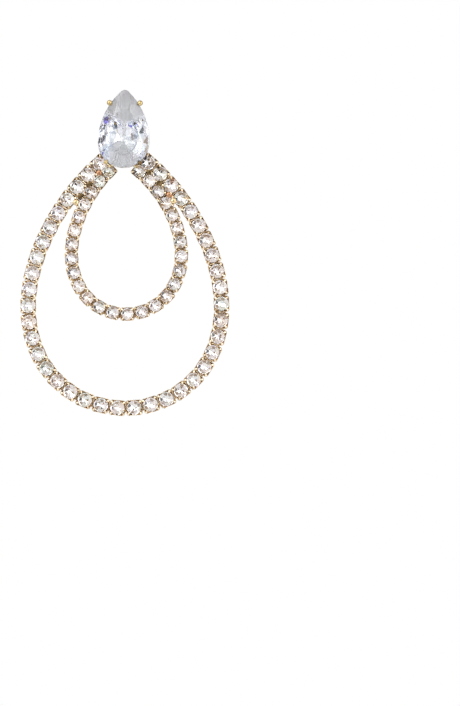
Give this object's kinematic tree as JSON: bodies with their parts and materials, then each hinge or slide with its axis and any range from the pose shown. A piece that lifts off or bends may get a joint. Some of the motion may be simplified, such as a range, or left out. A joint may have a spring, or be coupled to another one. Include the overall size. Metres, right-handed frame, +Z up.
{
  "type": "drop hoop earring with a pear stone and cup chain",
  "caption": "Drop hoop earring: a pear-cut clear stone in a claw setting, with two nested teardrop hoops of rhinestone cup chain and an ear post at the back.",
  "frame": {"origin": "on the ear post's axis, at the flat back of the pear setting where the post's pad sits", "axes": "+Z up as worn, +Y backwards along the ear post into the ear lobe, so the stones face -Y, +X to the right seen from the front"},
  "size_m": [0.0483, 0.0178, 0.0752],
  "materials": {
    "gold": "bright gold-tone plating",
    "cup_chain": "gold-tone claw cups, each with a round foil-backed crystal",
    "clear_stone": "polished facets, clear with a faint blue-grey tint"
  },
  "bodies": {
    "root": {"pear_stone": "clear_stone", "pear_setting": "gold", "ear_post": "gold", "outer_chain_01": "cup_chain", "outer_chain_02": "cup_chain", "outer_chain_03": "cup_chain", "outer_chain_04": "cup_chain", "outer_chain_05": "cup_chain", "outer_chain_06": "cup_chain", "outer_chain_07": "cup_chain", "outer_chain_08": "cup_chain", "inner_chain_01": "cup_chain", "inner_chain_02": "cup_chain", "inner_chain_03": "cup_chain", "inner_chain_04": "cup_chain", "inner_chain_05": "cup_chain"}
  },
  "joints": []
}
